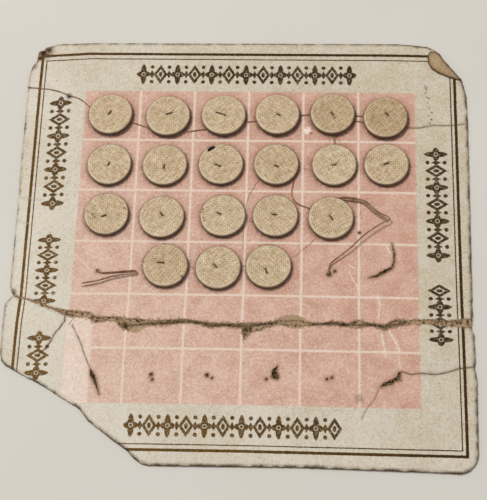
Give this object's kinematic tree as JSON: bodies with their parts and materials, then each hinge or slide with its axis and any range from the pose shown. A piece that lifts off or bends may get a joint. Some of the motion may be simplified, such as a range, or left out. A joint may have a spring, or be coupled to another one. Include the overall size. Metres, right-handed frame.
{
  "type": "card of buttons",
  "caption": "Square printed pasteboard card with rows of round linen covered buttons sewn through it, the board worn, torn across and folded at a corner.",
  "frame": {"origin": "middle of the printed grid, on the back of the card", "axes": "+Z out of the printed face, +Y to the top of the card, +X to the right along the rows"},
  "size_m": [0.1638, 0.1635, 0.0036],
  "materials": {
    "card": "aged buff paper on grey pasteboard, with pink printed squares and dark ruled lines, worn fibres at the tears",
    "linen": "undyed plain weave linen stretched over a ring, matt",
    "ring": "dark tarnished wire ring seen through a worn spot",
    "thread": "grey brown twisted cotton thread, slightly hairy"
  },
  "bodies": {
    "root": {"card": "card", "ring_r2_c3": "ring", "button_r1_c1": "linen", "button_r1_c2": "linen", "button_r1_c3": "linen", "button_r1_c4": "linen", "button_r1_c5": "linen", "button_r1_c6": "linen", "button_r2_c1": "linen", "button_r2_c2": "linen", "button_r2_c3": "linen", "button_r2_c4": "linen", "button_r2_c5": "linen", "button_r2_c6": "linen", "button_r3_c1": "linen", "button_r3_c2": "linen", "button_r3_c3": "linen", "button_r3_c4": "linen", "button_r3_c5": "linen", "button_r4_c2": "linen", "button_r4_c3": "linen", "button_r4_c4": "linen", "sewing_thread_row_1": "thread", "sewing_thread_row_2": "thread", "sewing_thread_row_3": "thread", "sewing_thread_row_4": "thread", "front_thread_row_1": "thread", "long_thread": "thread", "long_thread_second_strand": "thread", "folded_thread_end": "thread", "stray_thread_end": "thread"}
  },
  "joints": []
}
